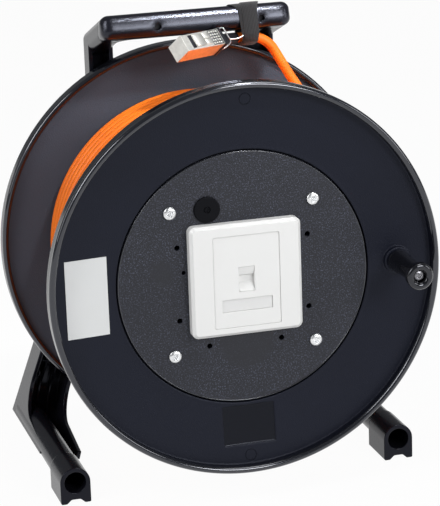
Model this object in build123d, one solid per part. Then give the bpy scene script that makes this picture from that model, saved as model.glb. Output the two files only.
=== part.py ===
"""Portable data-cable reel: a plastic drum on a ribbed stand with a carrying handle.

Sizes are in millimetres. While the pieces are made, y runs back from a plane just before the front disc, x to
the right and z up from the floor. At the end all of them move forward together, so that the origin lies on the
floor under the middle of the reel.
"""
import math
import os

from build123d import *

# One overrun for every cut, and the gaps between pieces
overrun = 2.0
running_clearance = 0.05
moving_gap = 0.4
fit_gap = 0.15

# Drum
axis_height = 172.35
drum_width = 153.5
face_band = 44.8
face_rise = 5.0
rim_stand = 7.0
rim_width = 4.6
rim_depth = 9.0
rear_rim_grow = 4.4
rim_proud = 2.0
rim_round = 1.2
web_thickness = 4.0
barrel_inset = 11.2
barrel_wall = 3.0

# Front disc in its seat
disc_margin = 36.19
disc_thickness = 4.0
disc_edge = 1.0
disc_groove = 1.2
seat_lip = 3.0
seat_thickness = 3.0
seat_inner_radius = 68.0
screw_inset = 18.8
screw_head_radius = 4.8
screw_head_height = 2.6
screw_radius = 2.0
screw_length = 16.0
screw_boss_radius = 5.5
screw_boss_length = 15.0
hole_far = 50.5
hole_near = 28.2
hole_radius = 2.1
pilot_hole_x = 46.2
pilot_hole_up = 8.7
pilot_hole_radius = 1.6

# Round blanking plug in the disc
grommet_x = 26.9
grommet_gap = 1.0
grommet_radius = 10.0
grommet_height = 1.8
grommet_round = 0.8
grommet_shank_radius = 8.0
grommet_dimple_radius = 2.6
grommet_dimple_depth = 1.0

# Data outlet on the disc
outlet_up = 1.2
outlet_side = 86.0
outlet_thickness = 9.0
outlet_corner = 5.0
outlet_bevel = 2.4
insert_width = 51.6
insert_height = 70.7
insert_top_margin = 9.0
insert_corner = 1.5
insert_sink = 0.5
window_width = 12.4
window_height = 19.0
window_up = 1.4
shutter_slope_height = 6.4
shutter_slope_sink = 2.2
shutter_sink = 4.6
shutter_back = 2.5
strip_width = 39.0
strip_height = 9.5
strip_down = 18.4
strip_sink = 0.8
strip_thickness = 1.2

# Bare sticker and bare recess on the front flange
label_place_share = 0.433
label_width_share = 0.723
label_down = 1.6
label_height = 59.5
label_thickness = 0.3
plate_place_share = 0.3213
plate_height_share = 0.68
plate_width = 40.5
plate_sink = 0.8

# Crank knob
crank_place_share = 0.4286
crank_up = 1.1
crank_reach = 52.0
crank_boss_radius = 10.5
crank_boss_height = 5.6
crank_pin_radius = 3.2
crank_head_radius = 3.8
crank_head_height = 3.0
knob_base_radius = 8.8
knob_neck_radius = 7.2
knob_neck_length = 11.0
knob_end_radius = 10.2
knob_end_length = 8.0
knob_round = 1.6
knob_recess_radius = 4.8
knob_recess_depth = 8.0

# Winding and axle
winding_depth = 28.0
winding_gap = 0.3
turn_relief = 2.7
axle_radius = 14.0
axle_bore_radius = 4.0
sleeve_wall = 8.0
sleeve_length = 52.0
sleeve_proud = 1.6
washer_radius = 20.0
washer_thickness = 2.5
axle_screw_head_radius = 8.0
axle_screw_head_height = 5.0
axle_screw_length = 30.0

# Stand: back frame
stand_gap = 3.0
frame_depth = 16.5
frame_wall = 3.0
arm_inset = 66.5
arm_width = 19.5
crossbar_half = 45.0
crossbar_round = 16.0
crotch_round = 22.0
frame_foot_drop = 16.9
hub_radius = 26.0
hub_rib = 2.5

# Stand: legs, which lean outward, slope back and turn forward at the elbow
lean = 16.0
sill_x = 142.0
sill_height = 14.35
leg_width = 33.0
leg_depth = 28.0
leg_web = 3.0
leg_wall = 3.0
heel_reach = 45.0
bend_climb = 171.0
leg_top_rise = 29.0
elbow_climb = 14.5
elbow_round = 24.0
elbow_inner_round = 34.0
wall_end_y = 107.0
wall_end_climb = 6.2
rib_thickness = 2.0
rib_height = 8.0
cross_rib_pitch = 30.0
cross_rib_count = 4
long_rib_shares = (1 / 3, 2 / 3)
leg_boss_climbs = (21.0, 40.0)
leg_boss_depth = 7.4
leg_boss_radius = 3.4
leg_boss_bore = 1.9

# Stand: tubular feet
foot_inset = 11.4
foot_tube_radius = 10.7
toe_radius = 11.7
foot_axis_height = 16.75
foot_bore_radius = 8.5
foot_bore_end = 110.0
foot_front_y = 29.5
foot_tube_inset = 12.0
toe_rear_y = 66.0
toe_width = 4.6
toe_round = 1.2
toe_notch_height = 3.2
toe_notch_run = 3.6
toe_notch_round = 2.6
heel_inset = 4.0
heel_length = 42.0
heel_bevel = 8.5
heel_inner_gap = 1.5

# Carrying grip
grip_y = 115.0
grip_above = 19.65
grip_rise = 20.0
grip_corner = 7.0
grip_inner_corner = 8.0
grip_thickness = 18.5
grip_round = 6.2
grip_split = 5.0
grip_hole_left_inset = 34.25
grip_hole_right_inset = 14.75
grip_hole_radius = 2.7
grip_hole_depth = 6.0
grip_screw_radius = 1.5
grip_screw_head_radius = 2.5
grip_screw_head_height = 2.0

# Strap round the grip and the cable
strap_inset = 25.5
strap_width = 14.0
strap_thickness = 1.8
strap_slack = 0.2
strap_drop = 19.5
strap_round = 6.0

# Cable, its plug and the free cord's points down to the winding, all from the strap's place on the grip
cable_diameter = 7.8
plug_tip_offset = (-63.35, -36.0, -13.35)
plug_rear_offset = (-28.55, -15.0, -14.35)
plug_roll = 230.0
plug_width = 14.0
plug_height = 16.4
plug_edge = 0.6
plug_latch_width = 6.4
plug_latch_length = 21.0
plug_latch_thickness = 1.6
plug_latch_start = 9.0
plug_collar_length = 2.2
plug_collar_proud = 0.9
boot_length = 18.0
boot_front_radius = 5.4
boot_rear_radius = 4.5
cord_lead = 4.5
cord_offsets = [
    (-5.1, -1.8, -15.0),
    (-0.7, -1.0, -15.0),
    (3.7, -1.0, -15.0),
    (8.08, -1.04, -15.79),
    (12.25, -1.13, -17.36),
    (16.07, -1.26, -19.64),
    (19.42, -1.42, -22.56),
    (22.19, -1.6, -26.04),
    (36.2, -3.8, -51.8),
    (47.0, -4.8, -67.0),
    (57.6, -6.0, -83.9),
    (66.8, -7.3, -103.8),
    (72.8, -8.6, -124.9),
]
cord_arc_share = 0.485

# Places that follow from the sizes above
disc_radius = outlet_side / math.sqrt(2) + disc_margin
screw_offset = (disc_radius - screw_inset) / math.sqrt(2)
seat_edge = disc_radius + disc_groove + seat_lip
rim_inner = seat_edge + face_band
flange_radius = rim_inner + rim_width
rear_radius = flange_radius + rear_rim_grow
rear_rim_inner = rear_radius - rim_width
barrel_radius = seat_edge - barrel_inset
winding_radius = barrel_radius + winding_depth
grommet_up = outlet_up + outlet_side / 2 + grommet_gap + grommet_radius
web_front = rim_proud
web_back = web_front + web_thickness
face_edge = web_front - face_rise
rim_front = face_edge - rim_stand
rim_back = face_edge + web_thickness
seat_back = web_back + seat_thickness
label_x = seat_edge + label_place_share * face_band
label_width = label_width_share * face_band
plate_down = seat_edge + plate_place_share * face_band
plate_height = plate_height_share * face_band
crank_radius = seat_edge + crank_place_share * face_band
rear_web_back = drum_width - rim_proud
rear_web_front = rear_web_back - web_thickness
frame_front = drum_width + stand_gap
back_y = frame_front + frame_depth
sleeve_front = rear_web_front - sleeve_length
arm_outer = sill_x - arm_inset
arm_inner = arm_outer - arm_width
arm_middle = (arm_inner + arm_outer) / 2
lean_sin = math.sin(math.radians(lean))
lean_cos = math.cos(math.radians(lean))
lean_tan = math.tan(math.radians(lean))
frame_foot_climb = (axis_height - crossbar_half - frame_foot_drop - sill_height) / lean_cos
heel_y = back_y + heel_reach
heel_rear = heel_y - heel_inset
heel_front = heel_rear - heel_length
leg_top_climb = bend_climb + leg_top_rise
foot_x = sill_x - foot_inset
foot_tube_end = heel_y - foot_tube_inset
grip_slope = math.tan(math.radians(grip_rise))
grip_height = axis_height + rear_radius + grip_above
arm_top = grip_height - (back_y - frame_depth / 2 - grip_y) * grip_slope
strap_x = arm_middle - strap_inset
strap_place = Vector(strap_x, grip_y, grip_height)
plug_tip = strap_place + Vector(*plug_tip_offset)
plug_rear = strap_place + Vector(*plug_rear_offset)
plug_axis = (plug_rear - plug_tip).normalized()
plug_length = (plug_rear - plug_tip).length
insert_shift = (outlet_side - insert_height) / 2 - insert_top_margin
outlet_middle = axis_height + outlet_up
outlet_front = web_front - outlet_thickness
knob_base_y = web_front - crank_boss_height - moving_gap
knob_recess_floor = knob_recess_depth - crank_reach
reel_shift = Pos(0, (crank_reach - heel_y) / 2, 0)


def outline(points):
    """Closed face through (x, y, corner radius) points."""
    corners = [(x, y) for x, y, _ in points]
    radii = [radius for _, _, radius in points]
    return make_face(FilletPolyline(*corners, radius=radii, close=True))


def turned(profile, x=0, z=axis_height):
    """Solid of revolution of an (radius, y) face about a line along y."""
    return Pos(x, 0, z) * revolve(profile, Axis.Y)


def rod(radius, y0, y1, x=0, z=axis_height):
    """Round bar along y."""
    base = Plane(origin=(x, y0, z), x_dir=(1, 0, 0), z_dir=(0, 1, 0))
    return extrude(base * Circle(radius), amount=y1 - y0)


def slab(sketch, y0, y1, x=0, z=0):
    """Front-view sketch pushed back from y0 to y1."""
    face = Plane(origin=(x, y0, z), x_dir=(1, 0, 0), z_dir=(0, -1, 0))
    return extrude(face * sketch, amount=y0 - y1)


def both_sides(solid):
    """A solid and its mirror image in the middle plane."""
    return [solid, mirror(solid, about=Plane.YZ)]


def ring_profile(inner, outer, y0, y1):
    """Rectangle in the (radius, y) plane."""
    return outline([(inner, y0, 0), (outer, y0, 0), (outer, y1, 0), (inner, y1, 0)])


# Drum


def face_shell(front, back):
    """Layer along the front flange's dished face, between two depths from it."""
    return turned(outline([
        (seat_edge, web_front + front, 0),
        (rim_inner, face_edge + front, 0),
        (rim_inner, face_edge + back, 0),
        (seat_edge, web_front + back, 0),
    ]))


def front_flange():
    """Dished flange with a raised rim, a sunk seat for the disc, screw bosses and the crank's boss."""
    seat_radius = disc_radius + disc_groove
    profile = outline([
        (seat_inner_radius, web_back, 0),
        (seat_radius, web_back, 0),
        (seat_radius, web_front, 0),
        (seat_edge, web_front, 0),
        (rim_inner, face_edge, 0),
        (rim_inner, rim_front, rim_round),
        (flange_radius, rim_front, rim_round),
        (flange_radius, rim_back, rim_round),
        (rim_inner, rim_back, 0),
        (seat_edge, web_back, 0),
        (seat_edge, seat_back, 0),
        (seat_inner_radius, seat_back, 0),
    ])
    flange = turned(profile)
    for x, z in screw_places():
        flange += rod(screw_boss_radius, web_back, seat_back + screw_boss_length, x, z)
        flange -= rod(screw_radius, web_front, seat_back + screw_length, x, z)
    flange += rod(crank_boss_radius, web_front - crank_boss_height, web_back, *crank_place())
    flange -= rod(crank_pin_radius, -crank_reach, drum_width / 2, *crank_place())
    plate = Pos(0, -plate_down) * Rectangle(plate_width, plate_height)
    return flange - (slab(plate, rim_front, web_back, z=axis_height) & face_shell(-overrun, plate_sink))


def screw_places():
    """Centres of the disc's screws, as x and z."""
    offsets = (-screw_offset, screw_offset)
    return [(x, axis_height - z) for z in offsets for x in offsets]


def crank_place():
    """Centre of the crank knob, as x and z."""
    return crank_radius, axis_height + crank_up


def front_disc():
    """Round cover in the flange's seat, with its screw holes and mounting holes."""
    profile = outline([
        (0, web_front, 0),
        (disc_radius - disc_edge, web_front, 0),
        (disc_radius, web_front + disc_edge, 0),
        (disc_radius, web_front + disc_thickness, 0),
        (0, web_front + disc_thickness, 0),
    ])
    disc = turned(profile)
    holes = [(x, z, screw_radius) for x, z in screw_places()]
    near_pair = (-hole_near, hole_near)
    holes += [(x, axis_height + z, hole_radius) for x in (-hole_far, hole_far) for z in near_pair]
    holes += [(x, axis_height - hole_far, hole_radius) for x in near_pair]
    holes.append((-pilot_hole_x, axis_height + pilot_hole_up, pilot_hole_radius))
    holes.append((-grommet_x, axis_height + grommet_up, grommet_shank_radius))
    for x, z, radius in holes:
        disc -= rod(radius, web_front - overrun, web_back + overrun, x, z)
    return disc


def disc_screw(x, z):
    """Pan-head screw through the disc into the flange's boss."""
    head = outline([
        (0, web_front - screw_head_height, 0),
        (screw_head_radius, web_front - screw_head_height, screw_head_height / 2),
        (screw_head_radius, web_front, 0),
        (0, web_front, 0),
    ])
    return turned(head, x, z) + rod(screw_radius, web_front, web_front + screw_length, x, z)


def grommet():
    """Round plug with a rolled edge and a dimple, pushed into the disc."""
    profile = outline([
        (0, web_front - grommet_height + grommet_dimple_depth, 0),
        (grommet_dimple_radius, web_front - grommet_height + grommet_dimple_depth, 0),
        (grommet_dimple_radius, web_front - grommet_height, 0),
        (grommet_radius, web_front - grommet_height, grommet_round),
        (grommet_radius, web_front, 0),
        (grommet_shank_radius, web_front, 0),
        (grommet_shank_radius, web_back, 0),
        (0, web_back, 0),
    ])
    return turned(profile, -grommet_x, axis_height + grommet_up)


def barrel():
    """Tube between the flanges that carries the cable."""
    return turned(ring_profile(barrel_radius - barrel_wall, barrel_radius, seat_back, rear_web_front))


def rear_flange():
    """Flange with rims on both faces and the sleeve that turns on the axle."""
    bore = axle_radius + running_clearance
    profile = outline([
        (bore, sleeve_front, 0),
        (axle_radius + sleeve_wall, sleeve_front, 0),
        (axle_radius + sleeve_wall, rear_web_front, 0),
        (rear_rim_inner, rear_web_front, 0),
        (rear_rim_inner, drum_width - rim_depth, rim_round),
        (rear_radius, drum_width - rim_depth, rim_round),
        (rear_radius, drum_width, rim_round),
        (rear_rim_inner, drum_width, rim_round),
        (rear_rim_inner, rear_web_back, 0),
        (axle_radius + sleeve_wall, rear_web_back, 0),
        (axle_radius + sleeve_wall, rear_web_back + sleeve_proud, 0),
        (bore, rear_web_back + sleeve_proud, 0),
    ])
    return turned(profile)


def winding():
    """The wound cable as one turned solid, with the turns of its outer layer."""
    front = seat_back + winding_gap
    back = rear_web_front - winding_gap
    inner = barrel_radius + winding_gap
    groove = winding_radius - turn_relief
    count = int((back - front) / cable_diameter)
    pitch = (back - front) / count
    edge = Polyline((groove, back), (inner, back), (inner, front), (groove, front))
    for turn in range(count):
        y = front + pitch * turn
        edge += ThreePointArc((groove, y), (winding_radius, y + pitch / 2), (groove, y + pitch))
    return turned(make_face(edge))


def label():
    """Bare sticker on the front flange."""
    sheet = Rectangle(label_width, label_height)
    prism = slab(sheet, rim_front, web_back, -label_x, axis_height - label_down)
    return prism & face_shell(-label_thickness, 0)


# Data outlet


def outlet_frame():
    """Square bevelled frame round the insert."""
    square = RectangleRounded(outlet_side, outlet_side, outlet_corner)
    frame = slab(square, outlet_front, web_front, z=outlet_middle)
    frame = chamfer(frame.faces().sort_by(Axis.Y)[0].edges(), outlet_bevel)
    opening = RectangleRounded(insert_width, insert_height, insert_corner)
    return frame - slab(opening, outlet_front - overrun, web_front + overrun, z=outlet_middle + insert_shift)


def insert_face(grow):
    """The insert's outline, larger by grow on each side."""
    return RectangleRounded(insert_width + 2 * grow, insert_height + 2 * grow, insert_corner)


def outlet_insert():
    """Flat centre piece with the jack's window and the strip's recess."""
    front = outlet_front + insert_sink
    middle = outlet_middle + insert_shift
    insert = slab(insert_face(-fit_gap), front, web_front, z=middle)
    window = Rectangle(window_width, window_height)
    insert -= slab(window, front - overrun, web_front + overrun, z=middle + window_up)
    recess = Rectangle(strip_width, strip_height)
    return insert - slab(recess, front - overrun, front + strip_sink + strip_thickness, z=middle - strip_down)


def outlet_shutter():
    """Dust shutter in the window: a sloping brow over a sunk flat."""
    front = outlet_front + insert_sink
    half = window_height / 2 - fit_gap
    brow = half - shutter_slope_height
    side = outline([
        (front, half, 0),
        (web_front - shutter_back, half, 0),
        (web_front - shutter_back, -half, 0),
        (front + fit_gap, -half, 0),
        (front + shutter_sink, brow - shutter_slope_height, 0),
        (front + shutter_sink, brow, 0),
        (front + shutter_slope_sink, brow, 0),
    ])
    width = window_width - 2 * fit_gap
    middle = outlet_middle + insert_shift + window_up
    side_plane = Plane(origin=(-width / 2, 0, middle), x_dir=(0, 1, 0), z_dir=(1, 0, 0))
    return extrude(side_plane * side, amount=width)


def outlet_strip():
    """Clear strip over the label recess."""
    front = outlet_front + insert_sink + strip_sink
    face = Rectangle(strip_width - 2 * fit_gap, strip_height - 2 * fit_gap)
    return slab(face, front, front + strip_thickness, z=outlet_middle + insert_shift - strip_down)


# Crank


def crank_pin():
    """Pin with a head, fixed in the front flange."""
    pin = rod(crank_pin_radius, knob_recess_floor - moving_gap, web_back, *crank_place())
    head_back = knob_recess_floor - moving_gap
    return pin + rod(crank_head_radius, head_back - crank_head_height, head_back, *crank_place())


def crank_knob():
    """Waisted knob with a collar and a recess at its end, loose on the pin."""
    bore = crank_pin_radius + running_clearance
    end = -crank_reach
    profile = outline([
        (bore, knob_base_y, 0),
        (knob_base_radius, knob_base_y, knob_round),
        (knob_neck_radius, end + knob_end_length + knob_neck_length, 0),
        (knob_neck_radius, end + knob_end_length + knob_round, knob_round),
        (knob_end_radius, end + knob_end_length - knob_round, knob_round),
        (knob_end_radius, end, knob_round),
        (knob_recess_radius, end, knob_round / 2),
        (knob_recess_radius, knob_recess_floor, 0),
        (bore, knob_recess_floor, 0),
    ])
    return turned(profile, *crank_place())


# Axle


def axle():
    """Tube from the stand's hub into the drum's sleeve."""
    front = sleeve_front + moving_gap
    return turned(ring_profile(axle_bore_radius, axle_radius, front, back_y))


def axle_washer():
    """Washer on the axle's end, in front of the sleeve."""
    back = sleeve_front - moving_gap
    return turned(ring_profile(axle_bore_radius, washer_radius, back - washer_thickness, back))


def axle_screw():
    """Screw that holds the washer."""
    back = sleeve_front - moving_gap - washer_thickness
    head = rod(axle_screw_head_radius, back - axle_screw_head_height, back)
    return head + rod(axle_bore_radius, back, back + axle_screw_length)


# Stand

leg_plane = Plane(origin=(sill_x, 0, sill_height), x_dir=(0, 1, 0), z_dir=(lean_cos, 0, lean_sin))


def leg_band(points, near, far):
    """Leg side view of (y, climb, radius) points, thickened between two depths inward of the outer wall."""
    return extrude(leg_plane.offset(-near) * outline(points), amount=near - far)


def rear_y(climb):
    """The leg's rear line at a climb from the sill."""
    return heel_y - (heel_y - back_y) * climb / bend_climb


def leg_wall_at(z, depth=0):
    """The x of a leg wall's plane at a height, the wall being so deep from the outer one."""
    return sill_x - (z - sill_height) * lean_tan - depth / lean_cos


def leg_block():
    """Filled leg with its sloping back and round elbow, down to the foot."""
    front_climb = bend_climb * (heel_y - leg_depth - frame_front) / (heel_y - back_y)
    return leg_band([
        (heel_y, 0, 0),
        (back_y, bend_climb, 0),
        (back_y, leg_top_climb, 0),
        (frame_front, leg_top_climb, 0),
        (frame_front, front_climb, 0),
        (rear_y(elbow_climb) - leg_depth, elbow_climb, elbow_round),
        (wall_end_y, wall_end_climb, 0),
        (wall_end_y, 0, 0),
    ], 0, leg_width)


def leg_hollow():
    """Space inside the leg, open to the front and up."""
    open_y = wall_end_y - overrun
    return leg_band([
        (rear_y(leg_web) - leg_web, leg_web, elbow_inner_round),
        (back_y - leg_web, bend_climb, 0),
        (back_y - leg_web, leg_top_climb + overrun, 0),
        (open_y, leg_top_climb + overrun, 0),
        (open_y, leg_web, 0),
    ], leg_wall, leg_width - leg_wall)


def leg_long_rib(depth):
    """Rib that runs down the leg's web and round its elbow."""
    half_web = leg_web / 2
    crest = leg_web + rib_height
    return leg_band([
        (heel_front, half_web, 0),
        (rear_y(half_web) - half_web, half_web, 0),
        (back_y - half_web, bend_climb, 0),
        (back_y - crest, bend_climb, 0),
        (rear_y(crest) - crest, crest, elbow_inner_round - rib_height),
        (heel_front, leg_web, 0),
    ], depth, depth + rib_thickness)


def leg_cross_rib(climb):
    """Rib across the leg at a climb."""
    top = climb + rib_thickness
    return leg_band([
        (rear_y(climb) - leg_web / 2, climb, 0),
        (rear_y(top) - leg_web / 2, top, 0),
        (rear_y(top) - leg_web - rib_height, top, 0),
        (rear_y(climb) - leg_web - rib_height, climb, 0),
    ], leg_wall / 2, leg_width - leg_wall / 2)


def leg_boss(climb):
    """Small tube that stands out from the leg's web at a climb."""
    place = leg_plane.from_local_coords(Vector(rear_y(climb), climb, -leg_boss_depth))
    back = place.Y - leg_web / 2
    front = place.Y - leg_web - rib_height
    tube = rod(leg_boss_radius, front, back, place.X, place.Z)
    return tube - rod(leg_boss_bore, front - overrun, place.Y - leg_web, place.X, place.Z)


def leg_ribs():
    """The leg's ribs and bosses, as a list."""
    clear = leg_width - 2 * leg_wall
    ribs = [leg_long_rib(leg_wall + clear * share) for share in long_rib_shares]
    ribs += [leg_cross_rib(bend_climb - cross_rib_pitch * step) for step in range(1, cross_rib_count + 1)]
    return ribs + [leg_boss(climb) for climb in leg_boss_climbs]


def foot():
    """Tube of the foot with its toe block and heel, before its bore."""
    radius = toe_radius
    toe = outline([
        (-radius, foot_axis_height, 0),
        (-radius, 0, toe_round),
        (toe_width - radius, 0, toe_round),
        (toe_width + toe_notch_run - radius, toe_notch_height, toe_notch_round),
        (radius - toe_width - toe_notch_run, toe_notch_height, toe_notch_round),
        (radius - toe_width, 0, toe_round),
        (radius, 0, toe_round),
        (radius, foot_axis_height, 0),
    ])
    inner_x = sill_x - leg_width * lean_cos
    heel = outline([
        (sill_x, sill_height, 0),
        (sill_x - heel_bevel, 0, 0),
        (inner_x + heel_inner_gap, 0, 0),
        (inner_x, sill_height - leg_width * lean_sin, 0),
    ])
    arch = rod(radius, foot_front_y, toe_rear_y, foot_x, foot_axis_height)
    tube = rod(foot_tube_radius, foot_front_y, foot_tube_end, foot_x, foot_axis_height)
    return tube + arch + slab(toe, foot_front_y, toe_rear_y, foot_x) + slab(heel, heel_front, heel_rear)


def frame_face():
    """Front view of the back frame: arms, crossbar with the hub, and the tops of the legs."""
    shoulder = sill_height + (sill_x - arm_outer) / lean_tan
    foot_out = (sill_x - frame_foot_climb * lean_sin, sill_height + frame_foot_climb * lean_cos)
    foot_in = (foot_out[0] - leg_width * lean_cos, foot_out[1] - leg_width * lean_sin)
    low = axis_height - crossbar_half
    high = axis_height + crossbar_half
    right = [
        (arm_inner, high, crossbar_round),
        (arm_inner, arm_top, 0),
        (arm_outer, arm_top, 0),
        (arm_outer, shoulder, 0),
        (*foot_out, 0),
        (*foot_in, 0),
        (leg_wall_at(low, leg_width), low, crotch_round),
    ]
    left = [(-x, z, radius) for x, z, radius in reversed(right)]
    return outline(right + left)


def grip_bar():
    """The whole handle, with square outer corners, trimmed at the stand's back."""
    slope = math.radians(grip_rise)
    half = arm_width / 2
    back = 2 * (back_y - grip_y)
    face = outline([
        (-arm_outer, -half, grip_corner),
        (arm_outer, -half, grip_corner),
        (arm_outer, back, 0),
        (arm_inner, back, 0),
        (arm_inner, half, grip_inner_corner),
        (-arm_inner, half, grip_inner_corner),
        (-arm_inner, back, 0),
        (-arm_outer, back, 0),
    ])
    upright = (0, math.sin(slope), math.cos(slope))
    level = Plane(origin=(0, grip_y, grip_height), x_dir=(1, 0, 0), z_dir=upright)
    bar = extrude(level * face, amount=grip_thickness / 2, both=True)
    sides = bar.faces().filter_by(level)
    bar = fillet(sides.edges(), grip_round)
    reach = 2 * grip_height
    behind = Box(reach, reach, reach, align=(Align.CENTER, Align.MIN, Align.CENTER))
    return bar - Pos(0, back_y, grip_height) * behind


def grip_front():
    """Half space in front of the grip's joint."""
    reach = 2 * grip_height
    place = Pos(0, grip_y + grip_split, grip_height)
    return place * Box(reach, reach, reach, align=(Align.CENTER, Align.MAX, Align.CENTER))


def grip_screw_places():
    """The x of the grip's screws."""
    return [grip_hole_left_inset - arm_middle, arm_middle - grip_hole_right_inset]


def grip_face_y():
    """The y of the grip's foremost line."""
    return grip_y - arm_width / 2


def grip_cover():
    """Front part of the handle, with two sunk screw holes."""
    cover = grip_bar() & grip_front()
    seat = grip_face_y() + grip_hole_depth
    for x in grip_screw_places():
        cover -= rod(grip_hole_radius, grip_face_y() - overrun, seat, x, grip_height)
        cover -= rod(grip_screw_radius, grip_face_y() - overrun, back_y, x, grip_height)
    return cover


def grip_screw(x):
    """Screw sunk in the grip's front."""
    seat = grip_face_y() + grip_hole_depth
    head = rod(grip_screw_head_radius, seat - grip_screw_head_height, seat, x, grip_height)
    return head + rod(grip_screw_radius, seat, grip_y + grip_split, x, grip_height)


def stand():
    """Legs, feet, back frame, hub, arms and the back of the grip, moulded as one."""
    face = frame_face()
    body = slab(face, frame_front, back_y)
    for leg in both_sides(leg_block()):
        body += leg
    body -= slab(offset(face, amount=-frame_wall), frame_front - overrun, back_y - frame_wall)
    for hollow in both_sides(leg_hollow()):
        body -= hollow
    for rib in leg_ribs():
        for side in both_sides(rib):
            body += side
    body += rod(hub_radius, frame_front, back_y)
    rib_front = frame_front + frame_wall
    body += slab(Rectangle(2 * arm_inner, hub_rib), rib_front, back_y, z=axis_height)
    body += slab(Rectangle(hub_rib, 2 * crossbar_half - frame_wall), rib_front, back_y, z=axis_height)
    for side in both_sides(foot()):
        body += side
    body += grip_bar() - grip_front()
    for x in (-foot_x, foot_x):
        body -= rod(foot_bore_radius, foot_front_y - overrun, foot_bore_end, x, foot_axis_height)
    return body - rod(axle_radius, frame_front - overrun, back_y + overrun)


# Strap, plug and free cord


def grip_plane(x):
    """Plane across the grip at x: its x runs forward along the grip's slope and its y away from the drum."""
    slope = math.radians(grip_rise)
    forward = (0, -math.cos(slope), math.sin(slope))
    return Plane(origin=(x, grip_y, grip_height), x_dir=forward, z_dir=(-1, 0, 0))


def strap():
    """Band round the grip with the cable held under it."""
    top = grip_thickness / 2 + strap_slack
    height = top + strap_drop
    width = arm_width + 2 * strap_slack
    middle = Pos(0, top - height / 2)
    inner = middle * RectangleRounded(width, height, strap_round)
    outer_size = 2 * strap_thickness
    outer = middle * RectangleRounded(width + outer_size, height + outer_size, strap_round + strap_thickness)
    return extrude(grip_plane(strap_x + strap_width / 2) * (outer - inner), amount=strap_width)


def plug_plane(along):
    """Plane across the plug at a distance from its tip; its y points out of the latch's face."""
    level = plug_axis.cross(Vector(0, 0, 1)).normalized()
    roll = math.radians(plug_roll)
    across = level * math.cos(roll) + plug_axis.cross(level) * math.sin(roll)
    return Plane(origin=plug_tip + plug_axis * along, z_dir=plug_axis, x_dir=across)


def plug_shell():
    """Shielded body of the plug."""
    section = RectangleRounded(plug_width, plug_height, plug_edge)
    body = extrude(plug_plane(0) * section, amount=plug_length)
    slot = Pos(0, plug_height / 2) * Rectangle(plug_latch_width + 2 * fit_gap, 2 * plug_latch_thickness)
    start = plug_plane(plug_latch_start - fit_gap)
    return body - extrude(start * slot, amount=plug_latch_length + 2 * fit_gap)


def plug_latch():
    """Latch plate in the plug's top face."""
    lift = plug_height / 2 - plug_latch_thickness / 2
    plate = Pos(0, lift) * Rectangle(plug_latch_width, plug_latch_thickness)
    return extrude(plug_plane(plug_latch_start) * plate, amount=plug_latch_length)


def plug_collar():
    """Collar at the plug's rear."""
    grow = 2 * plug_collar_proud
    ring = RectangleRounded(plug_width + grow, plug_height + grow, plug_edge + plug_collar_proud)
    return extrude(plug_plane(plug_length) * (ring - Circle(boot_front_radius)), amount=plug_collar_length)


def plug_boot():
    """Tapered boot between the plug and the cable."""
    start = plug_plane(plug_length) * Circle(boot_front_radius)
    end = plug_plane(plug_length + boot_length) * Circle(boot_rear_radius)
    return loft([start, end])


def cord_points():
    """The free cord's route, straight out of the boot's end and on to the winding."""
    boot_end = plug_length + boot_length
    start = [plug_plane(along).origin for along in (boot_end, boot_end + cord_lead)]
    return start + [strap_place + Vector(*offset) for offset in cord_offsets]


def cord_radii(points):
    """Bend radius at each inner point: as large as the shorter run beside it allows."""
    radii = []
    for before, here, after in zip(points, points[1:], points[2:]):
        turn = math.radians((here - before).get_angle(after - here))
        shorter = min((here - before).length, (after - here).length)
        radii.append(cord_arc_share * shorter / math.tan(turn / 2))
    return radii


def cord():
    """Free cable as straight runs and tangent arcs."""
    points = cord_points()
    radii = cord_radii(points)
    path = FilletPolyline(*points, radius=radii)
    section = Plane(origin=path @ 0, z_dir=path % 0) * Circle(cable_diameter / 2)
    tube = sweep(section, path=path)
    print("cord radii", [round(radius, 1) for radius in radii], "length", round(path.length, 1))
    print("cord volume", round(tube.volume), "section times length", round(section.area * path.length))
    return tube


# All nodes


def nodes():
    """Every piece by its name."""
    pieces = {
        "stand": stand(),
        "grip_cover": grip_cover(),
        "axle": axle(),
        "axle_washer": axle_washer(),
        "axle_screw": axle_screw(),
        "strap": strap(),
        "plug_shell": plug_shell(),
        "plug_latch": plug_latch(),
        "plug_collar": plug_collar(),
        "plug_boot": plug_boot(),
        "cord": cord(),
        "rear_flange": rear_flange(),
        "barrel": barrel(),
        "front_flange": front_flange(),
        "front_disc": front_disc(),
        "grommet": grommet(),
        "outlet_frame": outlet_frame(),
        "outlet_insert": outlet_insert(),
        "outlet_shutter": outlet_shutter(),
        "outlet_strip": outlet_strip(),
        "label": label(),
        "winding": winding(),
        "crank_pin": crank_pin(),
        "crank_knob": crank_knob(),
    }
    for number, x in enumerate(grip_screw_places(), 1):
        pieces[f"grip_screw_{number}"] = grip_screw(x)
    for number, place in enumerate(screw_places(), 1):
        pieces[f"disc_screw_{number}"] = disc_screw(*place)
    return pieces


os.makedirs("parts", exist_ok=True)
for name, piece in nodes().items():
    export_step(reel_shift * piece, f"parts/{name}.step")
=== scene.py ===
"""Looks of the hand-carried data-cable reel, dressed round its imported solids.

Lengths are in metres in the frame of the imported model: x to the right, y back from the drum's front, z up.
"""

import logging
import math
from abc import ABC, abstractmethod
from collections.abc import Iterable, Sequence
from dataclasses import dataclass, field
from enum import Enum
from functools import cached_property, reduce

import bmesh
import bpy
from mathutils import Matrix, Vector


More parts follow.
